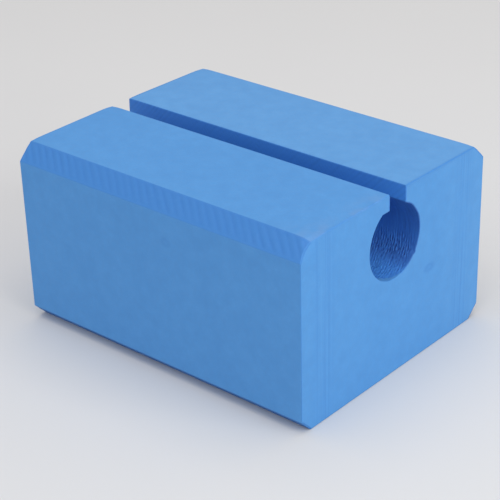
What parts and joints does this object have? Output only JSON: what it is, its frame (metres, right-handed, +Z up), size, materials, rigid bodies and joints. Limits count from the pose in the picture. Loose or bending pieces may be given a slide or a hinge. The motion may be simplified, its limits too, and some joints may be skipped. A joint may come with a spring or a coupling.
{
  "type": "slotted foam support block",
  "caption": "Closed-cell foam block with chamfered long edges and a round through bore, opened along the top by a narrow slot so that it pushes over a tube or rail.",
  "frame": {"origin": "centre of the flat base", "axes": "+X along the bore, +Y across the block, +Z up, out of the slot's mouth"},
  "size_m": [0.127, 0.102, 0.069],
  "materials": {
    "foam": "matte closed-cell foam, mid blue, saw-cut faces"
  },
  "bodies": {
    "root": {"foam_block": "foam"}
  },
  "joints": []
}
